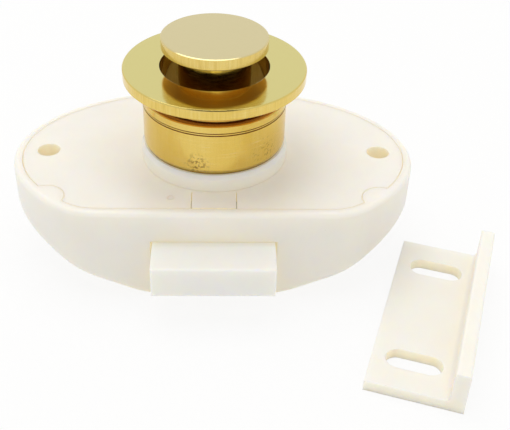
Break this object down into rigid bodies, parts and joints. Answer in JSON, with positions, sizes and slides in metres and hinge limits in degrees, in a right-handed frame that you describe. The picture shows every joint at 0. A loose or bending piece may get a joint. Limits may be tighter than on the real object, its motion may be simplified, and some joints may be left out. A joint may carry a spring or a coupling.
{
  "type": "push button rim latch",
  "caption": "Oval plastic rim latch with a sprung bevelled bolt, a brass barrel, rosette and push button, and a separate angle strike plate.",
  "frame": {"origin": "on the barrel's axis in the case's mounting face, midway between the two case screws", "axes": "+Z out along the barrel to the button, -Y the way the bolt points, +X to the right as seen from above the button with the bolt at the bottom"},
  "size_m": [0.09, 0.0732, 0.0423],
  "materials": {
    "white_case_plastic": "semi-gloss, moulded",
    "white_bolt_plastic": "semi-gloss, moulded",
    "cam_plastic": "moulded",
    "polished_brass": "turned and polished",
    "bright_steel": "zinc plated",
    "spring_steel": "drawn wire"
  },
  "bodies": {
    "case": {"housing": "white_case_plastic", "base_plate": "white_case_plastic", "guide_bush": "cam_plastic", "barrel_sleeve": "polished_brass", "rosette": "polished_brass", "bolt_spring_left": "spring_steel", "bolt_spring_right": "spring_steel", "spring_rod_left": "bright_steel", "spring_rod_right": "bright_steel", "keeper_plate": "bright_steel", "keeper_screws": "bright_steel", "button_spring": "spring_steel", "strike_plate": "white_case_plastic"},
    "button": {"push_button": "polished_brass", "button_stem": "bright_steel", "stem_clip": "spring_steel", "cam_wedge": "cam_plastic", "cam_washer": "bright_steel", "cam_screw": "bright_steel"},
    "bolt": {"latch_bolt": "white_bolt_plastic", "cam_pin": "bright_steel"}
  },
  "joints": [
    {"name": "button_press", "type": "slide", "parent": "case", "child": "button", "axis": [0, 0, 1], "range_m": [-0.0056, 0], "stiffness_N_per_m": 900, "springref_m": 0.004, "deforming": ["button_spring"]},
    {"name": "bolt_slide", "type": "slide", "parent": "case", "child": "bolt", "axis": [0, 1, 0], "range_m": [0, 0.0074], "stiffness_N_per_m": 300, "springref_m": -0.006, "deforming": ["bolt_spring_left", "bolt_spring_right"]}
  ],
  "couplings": [
    {"joint": "bolt_slide", "follows": "button_press", "ratio": -1.32}
  ]
}
